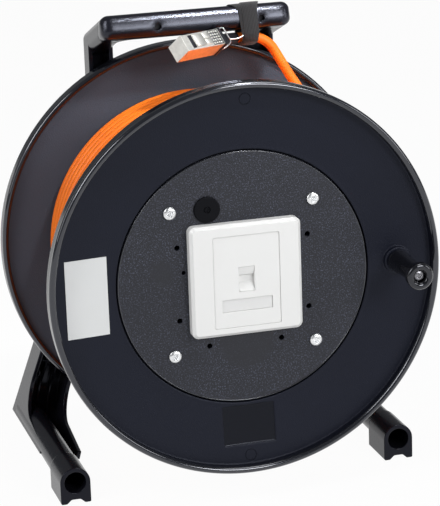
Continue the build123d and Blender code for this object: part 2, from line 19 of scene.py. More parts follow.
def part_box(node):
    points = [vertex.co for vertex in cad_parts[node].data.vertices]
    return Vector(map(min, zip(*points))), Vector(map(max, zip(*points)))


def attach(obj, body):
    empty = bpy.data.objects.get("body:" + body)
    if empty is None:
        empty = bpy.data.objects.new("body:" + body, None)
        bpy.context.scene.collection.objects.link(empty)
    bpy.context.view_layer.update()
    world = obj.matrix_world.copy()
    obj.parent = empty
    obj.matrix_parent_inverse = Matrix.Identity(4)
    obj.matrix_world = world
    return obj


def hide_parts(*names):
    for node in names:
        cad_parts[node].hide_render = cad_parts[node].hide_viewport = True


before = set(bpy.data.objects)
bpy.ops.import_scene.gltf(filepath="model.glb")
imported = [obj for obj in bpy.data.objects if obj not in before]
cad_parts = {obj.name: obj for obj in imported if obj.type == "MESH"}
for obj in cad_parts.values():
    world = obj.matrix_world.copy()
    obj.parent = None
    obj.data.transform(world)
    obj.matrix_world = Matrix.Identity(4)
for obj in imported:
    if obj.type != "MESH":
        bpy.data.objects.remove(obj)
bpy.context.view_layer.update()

log = logging.getLogger("reel")
MM = 0.001
FULL_TURN = 2 * math.pi
QUARTER_TURN = math.pi / 2
AXIS_HEIGHT = 0.17235  # the drum's axis over the floor
FACE_Y = -0.081  # the front of the disc
DISH_START = 0.1012  # radius at which the front flange begins to slope forward
DISH_TILT = math.atan(5.0 / 44.8)  # the slope's rise over its run
REEL_MIDDLE = (0.0, -0.05, 0.2)  # what the lamps face
SHARP_ANGLE = math.radians(40)  # edges that turn more than this stay crisp
EDGE_SAMPLES = 8  # rays that soften a sharp edge
NOISE_MEAN = 0.5
MORE_DETAIL, MOST_DETAIL = 3.0, 4.0  # finer layers of a noise, which otherwise has two
WIRE_ROUNDNESS, WIRE_STEPS, WIRE_ORDER = 6, 12, 3  # of the curves that wires and cables follow
WHITE = (1.0, 1.0, 1.0, 1.0)
Colour = tuple[float, float, float]
Point = tuple[float, float, float]
Range = tuple[float, float]
Block = tuple[Point, Point]


class Body(Enum):
    """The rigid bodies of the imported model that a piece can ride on."""

    STAND = "stand"
    DRUM = "drum"
    KNOB = "knob"


# Shader values


class Value:
    """A shader socket that takes part in sums: an expression on values adds its Math nodes."""

    def __init__(self, paint: "Paint", socket: bpy.types.NodeSocket) -> None:
        """Wraps a socket of a paint's node tree."""
        self.paint = paint
        self.socket = socket

    def _maths(self, operation: str, first: "Value | float", second: "Value | float") -> "Value":
        """Adds one Math node.

        Args:
            operation: The Math node's operation.
            first: Its first operand.
            second: Its second operand.

        Returns:
            The node's result.
        """
        return self.paint.value("ShaderNodeMath", {"operation": operation}, {0: first, 1: second})

    def __add__(self, other: "Value | float") -> "Value":
        """Sum of two values."""
        return self._maths("ADD", self, other)

    def __radd__(self, other: float) -> "Value":
        """Sum of a number and a value."""
        return self._maths("ADD", other, self)

    def __sub__(self, other: "Value | float") -> "Value":
        """Difference of two values."""
        return self._maths("SUBTRACT", self, other)

    def __rsub__(self, other: float) -> "Value":
        """A number less a value."""
        return self._maths("SUBTRACT", other, self)

    def __mul__(self, other: "Value | float") -> "Value":
        """Product of two values."""
        return self._maths("MULTIPLY", self, other)

    def __rmul__(self, other: float) -> "Value":
        """Product of a number and a value."""
        return self._maths("MULTIPLY", other, self)

    def __pow__(self, power: float) -> "Value":
        """A value raised to a power."""
        return self._maths("POWER", self, power)

    def __abs__(self) -> "Value":
        """A value without its sign."""
        return self._maths("ABSOLUTE", self, 0.0)

    def most(self, other: "Value | float") -> "Value":
        """The larger of two values."""
        return self._maths("MAXIMUM", self, other)

    def step(self, low: float, high: float) -> "Value":
        """Smooth step from 0 at low to 1 at high; low may be the larger one.

        Args:
            low: The value that gives 0.
            high: The value that gives 1.

        Returns:
            The step, from 0 to 1.
        """
        return self.paint.value(
            "ShaderNodeMapRange",
            {"interpolation_type": "SMOOTHSTEP"},
            {"Value": self, "From Min": low, "From Max": high},
        )


class Paint:
    """A procedural material or sky in the making."""

    def __init__(self, owner: bpy.types.Material | bpy.types.World) -> None:
        """Starts with an empty node tree.

        Args:
            owner: The new material or sky.
        """
        owner.use_nodes = True
        self.owner = owner
        self.tree = owner.node_tree
        self.tree.nodes.clear()

    @cached_property
    def place(self) -> Value:
        """The place on the reel at rest."""
        return self.value("ShaderNodeTexCoord", output="Object")

    def node(self, kind: str, settings: dict | None = None, inputs: dict | None = None) -> bpy.types.Node:
        """Adds any node.

        Args:
            kind: The node's type.
            settings: Its properties, set first.
            inputs: Values or links of its sockets, by name or number.

        Returns:
            The new node.
        """
        made = self.tree.nodes.new(kind)
        for key, setting in (settings or {}).items():
            setattr(made, key, setting)
        for key, entry in (inputs or {}).items():
            if isinstance(entry, Value):
                self.tree.links.new(entry.socket, made.inputs[key])
            else:
                made.inputs[key].default_value = entry
        return made

    def value(self, kind: str, settings: dict | None = None, inputs: dict | None = None,
              output: int | str = 0) -> Value:
        """Adds any node and wraps one of its outputs.

        Args:
            kind: The node's type.
            settings: Its properties.
            inputs: Values or links of its sockets.
            output: Name or number of the output.

        Returns:
            The wrapped output.
        """
        return Value(self, self.node(kind, settings, inputs).outputs[output])

    def axes(self) -> tuple[Value, Value, Value]:
        """The place's x, y and z."""
        split = self.node("ShaderNodeSeparateXYZ", inputs={0: self.place})
        return tuple(Value(self, output) for output in split.outputs)

    def noise(self, size: float, detail: float = 2.0, stretch: Point = (1.0, 1.0, 1.0)) -> Value:
        """Soft random value.

        Args:
            size: Size of its blotches.
            detail: How many finer layers it has.
            stretch: How much finer it is along each axis.

        Returns:
            A value round 0.5.
        """
        place = self.value("ShaderNodeVectorMath", {"operation": "MULTIPLY"}, {0: self.place, 1: stretch})
        return self.value("ShaderNodeTexNoise", inputs={"Vector": place, "Scale": 1 / size, "Detail": detail})

    def away(self, x: float = 0.0, z: float = 0.0) -> Value:
        """Distance from a line along y.

        Args:
            x: The line's place.
            z: The line's height over the drum's axis.

        Returns:
            The distance, seen from the front.
        """
        across, _, up = self.axes()
        return ((across - x) ** 2 + (up - (AXIS_HEIGHT + z)) ** 2) ** 0.5

    def disc_mask(self, x: float, z: float, radius: float, soft: float) -> Value:
        """A round patch seen from the front.

        Args:
            x: Its middle.
            z: Its middle's height over the drum's axis.
            radius: Its radius.
            soft: Width of its soft edge.

        Returns:
            1 inside the patch and 0 outside.
        """
        return self.away(x, z).step(radius + soft, radius - soft)

    def plate_mask(self, x: float, z: float, half_width: float, half_height: float, soft: float) -> Value:
        """A square-cornered patch seen from the front.

        Args:
            x: Its middle.
            z: Its middle's height over the floor.
            half_width: Half its width.
            half_height: Half its height.
            soft: Width of its soft edge.

        Returns:
            1 inside the patch and 0 outside.
        """
        across, _, up = self.axes()
        beside = abs(across - x).step(half_width, half_width + soft)
        beyond = abs(up - z).step(half_height, half_height + soft)
        return (1 - beside) * (1 - beyond)

    def mix(self, share: "Value | float", first: "Value | Colour", second: "Value | Colour") -> Value:
        """Mix of two colours.

        Args:
            share: 0 for the first, 1 for the second.
            first: A colour.
            second: A colour.

        Returns:
            The mixed colour.
        """
        first, second = (one if isinstance(one, Value) else (*one, 1.0) for one in (first, second))
        return self.value("ShaderNodeMix", {"data_type": "RGBA"}, {0: share, 6: first, 7: second}, output=2)

    def bump(self, height: Value, depth: float, normal: Value | None = None) -> Value:
        """Surface normal of a height map.

        Args:
            height: The height, from 0 to 1.
            depth: The depth that 1 stands for.
            normal: The normal it lies on.

        Returns:
            The bumped normal.
        """
        inputs = {"Height": height, "Distance": depth, "Strength": 1.0}
        if normal is not None:
            inputs["Normal"] = normal
        return self.value("ShaderNodeBump", inputs=inputs)

    def rounded(self, radius: float) -> Value:
        """Normal with sharp edges softened over a radius."""
        return self.value("ShaderNodeBevel", {"samples": EDGE_SAMPLES}, {"Radius": radius})

    def surface(self, **inputs: "Value | float | tuple") -> bpy.types.Material:
        """Ends the material with one surface shader.

        Args:
            inputs: The shader's sockets, with an underscore for each space.

        Returns:
            The finished material.
        """
        sockets = {key.replace("_", " "): entry for key, entry in inputs.items()}
        shader = self.value("ShaderNodeBsdfPrincipled", inputs=sockets)
        self.node("ShaderNodeOutputMaterial", inputs={"Surface": shader})
        return self.owner

    def seen(self) -> Value:
        """1 for rays that see, mirror or look through to this surface, and 0 for light on its way."""
        rays = self.node("ShaderNodeLightPath").outputs
        ways = [Value(self, rays[f"Is {way} Ray"]) for way in ("Camera", "Glossy", "Transmission")]
        return ways[0].most(ways[1]).most(ways[2])


# Finishes


@dataclass(frozen=True)
class Finish(ABC):
    """What every finish has: a name, a main colour and its own way of being laid on."""

    name: str
    colour: Colour

    def make(self) -> bpy.types.Material:
        """Mixes the finish as a new material."""
        return self.lay(Paint(bpy.data.materials.new(self.name)))

    @abstractmethod
    def lay(self, paint: Paint) -> bpy.types.Material:
        """Lays the finish on.

        Args:
            paint: The empty material.

        Returns:
            The finished material.
        """

    def toned(self, share: float, lift: float = 0.0) -> Colour:
        """A share of the main colour, lifted a little."""
        return tuple(share * part + lift for part in self.colour)


@dataclass(frozen=True)
class MouldedPlastic(Finish):
    """Hard black plastic as it leaves the mould, with a faint skin and handling marks.

    A flange also has a polished lip outside a radius, and the front one a smooth sunk plate, which is given by
    its middle's x and z and half its width and height. The plate's colour is darkened there as painted shade
    of its recess.
    """

    roughness: float
    grain: float = 0.5 * MM
    depth: float = 0.012 * MM
    edge: float = 0.5 * MM
    shine: float = 0.5
    glint: Colour = (0.8, 0.84, 1.0)
    coat: float = 0.0
    coat_roughness: float = 0.06
    lip: float = 0.0
    lip_soft: float = 0.3 * MM
    lip_roughness: float = 0.14
    lip_colour: Colour = (0.006, 0.0065, 0.009)
    sunk: tuple[float, float, float, float] | None = None
    sunk_soft: float = 0.4 * MM
    sunk_painted_shade: float = 0.3
    sunk_polish: float = 0.18
    sunk_calm: float = 0.8
    cloud: float = 60 * MM
    cloud_shades: Range = (0.8, 1.2)
    cloud_haze: float = 0.08
    scuff: float = 9 * MM
    scuff_stretch: Point = (1.0, 3.0, 1.0)
    scuff_range: Range = (0.6, 0.8)
    scuff_share: float = 0.2
    scuff_shade: float = 1.7
    scuff_lift: float = 0.003
    scuff_haze: float = 0.06

    def lay(self, paint: Paint) -> bpy.types.Material:
        """Mixes the plastic, then its lip and its sunk plate.

        Args:
            paint: The empty material.

        Returns:
            The finished material.
        """
        cloud = paint.noise(self.cloud, MORE_DETAIL)
        scuff = paint.noise(self.scuff, MOST_DETAIL, self.scuff_stretch).step(*self.scuff_range)
        dark, light = (self.toned(shade) for shade in self.cloud_shades)
        rubbed = self.toned(self.scuff_shade, self.scuff_lift)
        tone = paint.mix(scuff * self.scuff_share, paint.mix(cloud, dark, light), rubbed)
        rough = self.roughness + self.cloud_haze * (cloud - NOISE_MEAN) + self.scuff_haze * scuff
        height = paint.noise(self.grain)
        if self.lip:
            polish = paint.away().step(self.lip - self.lip_soft, self.lip + self.lip_soft)
            tone = paint.mix(polish, tone, self.lip_colour)
            rough = rough - polish * (self.roughness - self.lip_roughness)
            height = height * (1 - polish)
        if self.sunk:
            plate = paint.plate_mask(*self.sunk, self.sunk_soft)
            # Painted shade: the sunk plate's colour is cut to a share of the plastic's.
            tone = paint.mix(plate, tone, self.toned(self.sunk_painted_shade))
            rough = rough - plate * self.sunk_polish
            height = height * (1 - self.sunk_calm * plate)
        skin = paint.bump(height, self.depth, paint.rounded(self.edge))
        return paint.surface(
            Base_Color=tone, Roughness=rough, Normal=skin, Specular_IOR_Level=self.shine,
            Specular_Tint=(*self.glint, 1.0), Coat_Weight=self.coat, Coat_Roughness=self.coat_roughness,
        )


@dataclass(frozen=True)
class SparkedPlastic(Finish):
    """The disc's sparked grain and its painted glints, which leave off at round smooth patches of a given x,
    height and radius.
    """

    # Pale colour of the grain's peaks: painted glints.
    light: Colour
    roughness: float = 0.52
    grain: float = 1.05 * MM
    depth: float = 0.16 * MM
    edge: float = 0.4 * MM
    shine: float = 0.5
    painted_glint_range: Range = (0.5, 0.72)
    cloud: float = 45 * MM
    cloud_range: Range = (0.3, 0.7)
    cloud_share: float = 0.35
    cloud_haze: float = 0.1
    patches: tuple[Point, ...] = ((1.0 * MM, -50.2 * MM, 21.0 * MM), (-62.7 * MM, 10.1 * MM, 9.0 * MM))
    patch_soft: float = 3.0 * MM
    patch_dull: float = 0.8
    patch_polish: float = 0.12
    patch_calm: float = 0.85

    def lay(self, paint: Paint) -> bpy.types.Material:
        """Mixes the grain, its painted glints and its smooth patches.

        Args:
            paint: The empty material.

        Returns:
            The finished material.
        """
        smooth = reduce(Value.most, [paint.disc_mask(*patch, self.patch_soft) for patch in self.patches])
        grain = paint.noise(self.grain, MORE_DETAIL)
        cloud = paint.noise(self.cloud)
        # Painted glints: the grain's peaks turn pale, less so on the smooth patches.
        painted_glint = grain.step(*self.painted_glint_range) * (1 - self.patch_dull * smooth)
        tone = paint.mix(painted_glint, self.colour, self.light)
        shade = paint.mix(cloud.step(*self.cloud_range) * self.cloud_share, tone, self.colour)
        rough = self.roughness + self.cloud_haze * cloud - self.patch_polish * smooth
        skin = paint.bump(grain * (1 - self.patch_calm * smooth), self.depth, paint.rounded(self.edge))
        return paint.surface(Base_Color=shade, Roughness=rough, Normal=skin, Specular_IOR_Level=self.shine)


@dataclass(frozen=True)
class CableJacket(Finish):
    """Satin jacket with faint extrusion marks and handling shine."""

    deep: Colour
    roughness: float = 0.36
    grain: float = 0.8 * MM
    depth: float = 0.03 * MM
    shine: float = 0.35
    cloud: float = 22 * MM
    cloud_range: Range = (0.3, 0.75)
    cloud_share: float = 0.6
    cloud_haze: float = 0.14

    def lay(self, paint: Paint) -> bpy.types.Material:
        """Mixes the jacket.

        Args:
            paint: The empty material.

        Returns:
            The finished material.
        """
        cloud = paint.noise(self.cloud, MORE_DETAIL)
        tone = paint.mix(cloud.step(*self.cloud_range) * self.cloud_share, self.colour, self.deep)
        rough = self.roughness + self.cloud_haze * cloud
        skin = paint.bump(paint.noise(self.grain), self.depth)
        return paint.surface(Base_Color=tone, Roughness=rough, Normal=skin, Specular_IOR_Level=self.shine)


@dataclass(frozen=True)
class HookAndLoop(Finish):
    """Black woven band with a fuzzy pile."""

    fuzz: Colour
    roughness: float = 0.9
    depth: float = 0.22 * MM
    sheen: float = 0.25
    sheen_roughness: float = 0.5
    pile: float = 0.45 * MM
    pile_range: Range = (0.45, 0.75)
    lint: float = 3.0 * MM
    lint_range: Range = (0.5, 0.75)
    bare_share: float = 0.35
    weave_scale: float = 260.0
    weave_bend: float = 1.5
    weave_share: float = 0.5

    def lay(self, paint: Paint) -> bpy.types.Material:
        """Mixes the pile, its lint and the weave below.

        Args:
            paint: The empty material.

        Returns:
            The finished material.
        """
        pile = paint.noise(self.pile, MOST_DETAIL)
        lint = paint.noise(self.lint, MOST_DETAIL).step(*self.lint_range)
        fuzzy = pile.step(*self.pile_range) * (self.bare_share + (1 - self.bare_share) * lint)
        weave = paint.value(
            "ShaderNodeTexWave", {"bands_direction": "X"},
            {"Vector": paint.place, "Scale": self.weave_scale, "Distortion": self.weave_bend}, output="Fac",
        )
        return paint.surface(
            Base_Color=paint.mix(fuzzy, self.colour, self.fuzz), Roughness=self.roughness,
            Normal=paint.bump(self.weave_share * weave + pile, self.depth),
            Sheen_Weight=self.sheen, Sheen_Roughness=self.sheen_roughness,
        )


@dataclass(frozen=True)
class PlatedMetal(Finish):
    """Bright plated metal with fine scratches."""

    roughness: float
    edge: float = 0.3 * MM
    haze: float = 4.0 * MM
    haze_range: Range = (0.35, 0.7)
    haze_share: float = 0.4
    haze_shade: float = 0.7
    haze_dull: float = 0.08
    scratch: float = 0.5 * MM
    scratch_stretch: Point = (1.0, 1.0, 9.0)
    scratch_dull: float = 0.1
    scratch_depth: float = 0.02 * MM

    def lay(self, paint: Paint) -> bpy.types.Material:
        """Mixes the metal, its haze and its scratches.

        Args:
            paint: The empty material.

        Returns:
            The finished material.
        """
        haze = paint.noise(self.haze, MOST_DETAIL)
        lines = paint.noise(self.scratch, stretch=self.scratch_stretch)
        hazed = haze.step(*self.haze_range) * self.haze_share
        tone = paint.mix(hazed, self.colour, self.toned(self.haze_shade))
        rough = self.roughness + self.scratch_dull * lines + self.haze_dull * haze
        skin = paint.bump(lines, self.scratch_depth, paint.rounded(self.edge))
        return paint.surface(Base_Color=tone, Roughness=rough, Metallic=1.0, Normal=skin)


@dataclass(frozen=True)
class PaleSkin(Finish):
    """Smooth pale surface of outlet plastic, strip or sticker, a little soiled."""

    soiled: Colour
    roughness: float
    edge: float = 0.7 * MM
    grain: float = 0.7 * MM
    depth: float = 0.006 * MM
    soil: float = 30 * MM
    soil_range: Range = (0.45, 0.9)
    soil_share: float = 0.5
    soil_dull: float = 0.1

    def lay(self, paint: Paint) -> bpy.types.Material:
        """Mixes the skin and its soil.

        Args:
            paint: The empty material.

        Returns:
            The finished material.
        """
        soil = paint.noise(self.soil, MOST_DETAIL).step(*self.soil_range)
        tone = paint.mix(soil * self.soil_share, self.colour, self.soiled)
        rough = self.roughness + self.soil_dull * soil
        skin = paint.bump(paint.noise(self.grain), self.depth, paint.rounded(self.edge))
        return paint.surface(Base_Color=tone, Roughness=rough, Normal=skin)


STAND_BLACK = MouldedPlastic(
    "stand_black", (0.007, 0.007, 0.0105), 0.2, depth=0.006 * MM, edge=1.4 * MM, shine=0.2,
)
GRIP_BLACK = MouldedPlastic(
    "grip_black", (0.006, 0.006, 0.009), 0.2, depth=0.004 * MM, edge=7.0 * MM, shine=0.5,
)
# The front flange's sunk plate is painted darker, as shade of its recess.
DRUM_BLACK = MouldedPlastic(
    "drum_black", (0.0045, 0.0055, 0.0115), 0.42, 0.8 * MM, 0.16 * MM, edge=2.0 * MM, shine=0.26, lip=0.146,
    sunk=(0.0, 56.75 * MM, 20.0 * MM, 15.0 * MM),
)
# The rear flange's face is a lighter, bluer grey than the black it is moulded in. That grey is painted sheen of
# its grained face, and the blue offsets the orange light thrown from the cable. Only its lip keeps the plain
# black.
REAR_PAINTED_SHEEN = MouldedPlastic(
    "rear_flange_painted_sheen", (0.045, 0.054, 0.072), 0.6, 0.9 * MM, 0.3 * MM, shine=0.45, lip=0.1504,
)
LIP_BLACK = MouldedPlastic("lip_black", (0.005, 0.0055, 0.008), 0.16, depth=0.002 * MM, coat=1.0)
KNOB_BLACK = MouldedPlastic(
    "knob_black", (0.004, 0.004, 0.005), 0.14, 0.4 * MM, 0.002 * MM, shine=0.4, coat=0.6,
)
GROMMET_BLACK = MouldedPlastic("grommet_black", (0.003, 0.003, 0.0035), 0.45, shine=0.12)
BOOT_BLACK = MouldedPlastic("boot_black", (0.006, 0.006, 0.007), 0.4)
# The disc's pale flecks are painted glints of its sparked grain.
DISC_GRAIN_AND_GLINTS = SparkedPlastic("disc_grain_and_glints", (0.006, 0.0072, 0.0135), (0.07, 0.077, 0.115))
ORANGE_JACKET = CableJacket("orange_jacket", (0.95, 0.205, 0.014), (0.86, 0.15, 0.008))
STRAP_PILE = HookAndLoop("strap_pile", (0.005, 0.005, 0.006), (0.035, 0.035, 0.04))
PLUG_METAL = PlatedMetal("plug_metal", (0.78, 0.77, 0.73), 0.36)
SCREW_ZINC = PlatedMetal("screw_zinc", (0.86, 0.87, 0.88), 0.2)
PIN_STEEL = PlatedMetal("pin_steel", (0.3, 0.3, 0.32), 0.22)
SUNK_STEEL = PlatedMetal("sunk_steel", (0.05, 0.05, 0.055), 0.35)
OUTLET_WHITE = PaleSkin("outlet_white", (0.81, 0.81, 0.8), (0.78, 0.775, 0.76), 0.32)
STRIP_CLEAR = PaleSkin("strip_clear", (0.75, 0.75, 0.745), (0.72, 0.72, 0.71), 0.2)
STICKER_WHITE = PaleSkin("sticker_white", (0.71, 0.72, 0.72), (0.68, 0.69, 0.685), 0.42, 0.1 * MM)


# Helpers


def dress_nodes(finish: Finish, *names: str) -> None:
    """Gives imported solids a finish.

    Args:
        finish: The finish.
        names: The solids' names.
    """
    material = finish.make()
    for name in names:
        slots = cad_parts[name].data.materials
        slots.clear()
        slots.append(material)
        log.info("%s: %s", name, finish.name)


def new_piece(name: str, mesh: bmesh.types.BMesh, material: bpy.types.Material, body: Body) -> bpy.types.Object:
    """Puts a finished mesh into the scene and on its body.

    Args:
        name: The piece's name.
        mesh: Its mesh, which is freed.
        material: Its material.
        body: The body it rides on.

    Returns:
        The piece.
    """
    bmesh.ops.recalc_face_normals(mesh, faces=mesh.faces)
    data = bpy.data.meshes.new(name)
    mesh.to_mesh(data)
    mesh.free()
    data.shade_smooth()
    data.set_sharp_from_angle(angle=SHARP_ANGLE)
    data.materials.append(material)
    piece = bpy.data.objects.new(name, data)
    bpy.context.scene.collection.objects.link(piece)
    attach(piece, body.value)
    log.info("%s: %d faces", name, len(data.polygons))
    return piece


def skin_rings(mesh: bmesh.types.BMesh, rings: Sequence[Sequence[Vector]], closed: bool = False) -> None:
    """Joins equal rings of points with quads.

    Args:
        mesh: The mesh to add to.
        rings: Closed rings, in order.
        closed: Whether the last ring joins the first; open ends get a face each.
    """
    verts = [[mesh.verts.new(point) for point in ring] for ring in rings]
    pairs = list(zip(verts, verts[1:]))
    if closed:
        pairs.append((verts[-1], verts[0]))
    for near, far in pairs:
        for index in range(len(near)):
            after = (index + 1) % len(near)
            mesh.faces.new((near[index], near[after], far[after], far[index]))
    if not closed:
        mesh.faces.new(verts[0])
        mesh.faces.new(verts[-1])


def angles_round(count: int) -> list[float]:
    """Even angles once round a circle."""
    return [FULL_TURN * step / count for step in range(count)]


def turned_rings(profile: Iterable[tuple[float, float]], place: Matrix, count: int) -> list[list[Vector]]:
    """Rings of a profile turned about a local z axis.

    Args:
        profile: Radius and height pairs.
        place: Where the local frame is.
        count: Points per ring.

    Returns:
        One ring per pair.
    """
    angles = angles_round(count)
    return [
        [place @ Vector((radius * math.cos(a), radius * math.sin(a), height)) for a in angles]
        for radius, height in profile
    ]


def facing(x: float, y: float, z: float, tilt: float = 0.0) -> Matrix:
    """Frame at a place with its z axis to the front, tilted down."""
    return Matrix.Translation((x, y, z)) @ Matrix.Rotation(QUARTER_TURN + tilt, 4, "X")


def front_frame(node: str, y: float | None = None) -> Matrix:
    """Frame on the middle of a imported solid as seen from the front.

    Args:
        node: The solid's name.
        y: Where the frame lies from front to back, or None for the solid's front end.

    Returns:
        The frame, with its z axis to the front.
    """
    low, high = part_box(node)
    return facing((low.x + high.x) / 2, low.y if y is None else y, (low.z + high.z) / 2)


def bent_wire(name: str, points: Sequence[Vector], radius: float, finish: Finish) -> bpy.types.Object:
    """Makes a round wire or cable along one smooth curve and puts it on the stand.

    Args:
        name: The piece's name.
        points: The curve's control points.
        radius: The wire's radius.
        finish: Its finish.

    Returns:
        The piece.
    """
    curve = bpy.data.curves.new(name, "CURVE")
    curve.dimensions = "3D"
    curve.bevel_depth = radius
    curve.bevel_resolution = WIRE_ROUNDNESS
    curve.resolution_u = WIRE_STEPS
    curve.use_fill_caps = True
    spline = curve.splines.new("NURBS")
    spline.points.add(len(points) - 1)
    for control, point in zip(spline.points, points):
        control.co = (*point, 1.0)
    spline.order_u = WIRE_ORDER
    spline.use_endpoint_u = True
    curve.materials.append(finish.make())
    wire = bpy.data.objects.new(name, curve)
    bpy.context.scene.collection.objects.link(wire)
    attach(wire, Body.STAND.value)
    log.info("%s: %d points", name, len(points))
    return wire


# Sub-assemblies


@dataclass
class Drum:
    """Flanges with their beads, disc, sticker, blanking plug and the marks moulded in the front flange."""

    mark_radius: float = 4.3 * MM
    mark_wire: float = 0.28 * MM
    mark_places: tuple[tuple[float, float], ...] = ((3.9 * MM, 136.5 * MM), (0.0, -139.3 * MM))
    beads: tuple[tuple[str, float, float, float], ...] = (
        ("front_bead", 148.3 * MM, -92.3 * MM, 2.6 * MM), ("rear_bead", 152.35 * MM, 62.2 * MM, 2.6 * MM),
        ("disc_bead", 96.35 * MM, -80.75 * MM, 0.5 * MM),
    )
    dimple_radius: float = 1.7 * MM
    dimple_wire: float = 0.55 * MM
    dimple_depth: float = 0.8 * MM
    ring_sides: int = 20
    ring_pitch: float = 2.5 * MM
    ring_least: int = 32

    def ring(self, name: str, radius: float, wire: float, place: Matrix, finish: Finish, slot: str) -> None:
        """Makes one raised ring.

        Args:
            name: The piece's name.
            radius: The ring's radius.
            wire: Half its thickness.
            place: Where it lies, its z axis out of the surface.
            finish: Its finish.
            slot: The record's material slot; not used.
        """
        mesh = bmesh.new()
        profile = [(radius + wire * math.cos(a), wire * math.sin(a)) for a in angles_round(self.ring_sides)]
        steps = max(self.ring_least, round(FULL_TURN * radius / self.ring_pitch))
        skin_rings(mesh, turned_rings(profile, place, steps), closed=True)
        new_piece(name, mesh, finish.make(), Body.DRUM)

    def build(self) -> None:
        """Makes the flanges' round beads, the mould's ring marks and the blanking plug's inner ring."""
        for number, (x, up) in enumerate(self.mark_places, 1):
            depth = FACE_Y - (math.hypot(x, up) - DISH_START) * math.tan(DISH_TILT)
            place = facing(x, depth, AXIS_HEIGHT + up, math.copysign(DISH_TILT, up))
            name = f"mould_mark_{number}"
            self.ring(name, self.mark_radius, self.mark_wire, place, DRUM_BLACK, "black_drum")
        for name, radius, y, half in self.beads:
            self.ring(name, radius, half, facing(0, y, AXIS_HEIGHT), LIP_BLACK, "black_drum")
        place = front_frame("grommet") @ Matrix.Translation((0, 0, -self.dimple_depth))
        self.ring("dimple_ring", self.dimple_radius, self.dimple_wire, place, GROMMET_BLACK, "black_moulding")

    def dress(self) -> None:
        """Gives the drum's solids their finishes."""
        dress_nodes(DRUM_BLACK, "front_flange", "barrel")
        # The rear flange's face carries a painted sheen in its colour.
        dress_nodes(REAR_PAINTED_SHEEN, "rear_flange")
        dress_nodes(DISC_GRAIN_AND_GLINTS, "front_disc")
        dress_nodes(GROMMET_BLACK, "grommet")
        dress_nodes(STICKER_WHITE, "label")


@dataclass
class Knob:
    """Waisted crank knob with a round end ring, which turns on its pin."""

    bore: float = 3.4 * MM
    recess: float = 4.8 * MM
    recess_depth: float = 8.0 * MM
    end_radius: float = 10.2 * MM
    end_rise: float = 2.2 * MM
    end_length: float = 5.6 * MM
    neck: float = 7.2 * MM
    shoulder: float = 3.6 * MM
    neck_length: float = 19.0 * MM
    base: float = 8.8 * MM
    base_round: float = 1.8 * MM
    steps: int = 10
    count: int = 64

    def profile(self, length: float) -> list[tuple[float, float]]:
        """Half section of the knob, from the recess over the end ring and back to the bore.

        Args:
            length: The knob's length.

        Returns:
            Radius and height pairs, with the end at height zero.
        """
        turns = [QUARTER_TURN * step / self.steps for step in range(self.steps + 1)]
        middle, half = (self.end_radius + self.recess) / 2, (self.end_radius - self.recess) / 2
        line = [(self.bore, -self.recess_depth), (self.recess, -self.recess_depth)]
        line += [(middle - half * math.cos(a), self.end_rise * (math.sin(a) - 1)) for a in turns]
        line += [(middle + half * math.sin(a), self.end_rise * (math.cos(a) - 1)) for a in turns[1:]]
        drop = self.end_radius - self.neck
        line += [
            (self.neck + drop * math.cos(a), -self.end_length - self.shoulder * math.sin(a)) for a in turns
        ]
        line.append((self.neck, -self.neck_length))
        inner, foot = self.base - self.base_round, self.base_round - length
        line += [(inner + self.base_round * math.cos(a), foot - self.base_round * math.sin(a)) for a in turns]
        return line + [(self.bore, -length)]

    def build(self) -> None:
        """Turns the knob in place of its plain solid."""
        low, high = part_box("crank_knob")
        rings = turned_rings(self.profile(high.y - low.y), front_frame("crank_knob"), self.count)
        mesh = bmesh.new()
        skin_rings(mesh, rings, closed=True)
        knob = new_piece("turned_knob", mesh, KNOB_BLACK.make(), Body.KNOB)
        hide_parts("crank_knob")


@dataclass
class CrossHead:
    """Domed screw head with a cross recess."""

    radius: float
    height: float
    round_share: float = 0.45
    round_power: int = 4
    slot_half_share: float = 0.13
    slot_flare: float = 1.5
    slot_reach_share: float = 0.57
    slot_depth_share: float = 0.58
    spokes: int = 64
    circles: int = 22

    def rise(self, radius: float, angle: float) -> float:
        """Height of the head at a point.

        Args:
            radius: Distance from the middle.
            angle: Angle from one arm of the recess.

        Returns:
            The height over the seat.
        """
        dome = self.height * (1 - self.round_share * (radius / self.radius) ** self.round_power)
        along, across = abs(radius * math.cos(angle)), abs(radius * math.sin(angle))
        half = self.slot_half_share * self.radius
        wall = max(0.0, min(1.0, (self.slot_flare * half - min(across, along)) / half))
        end = max(0.0, min(1.0, (self.slot_reach_share * self.radius - max(along, across)) / half))
        return dome - self.slot_depth_share * self.height * wall * end

    def mesh(self, place: Matrix, turn: float) -> bmesh.types.BMesh:
        """Makes the head.

        Args:
            place: Its seat, with the z axis outward.
            turn: How far the cross is turned, in radians.

        Returns:
            The mesh.
        """
        mesh = bmesh.new()
        rings = []
        angles = angles_round(self.spokes)
        for circle in range(1, self.circles + 1):
            radius = self.radius * circle / self.circles
            rings.append([
                place @ Vector((
                    radius * math.cos(a + turn), radius * math.sin(a + turn), self.rise(radius, a),
                )) for a in angles
            ])
        rings += turned_rings([(self.radius, 0.0)], place, self.spokes)
        skin_rings(mesh, rings)
        return mesh


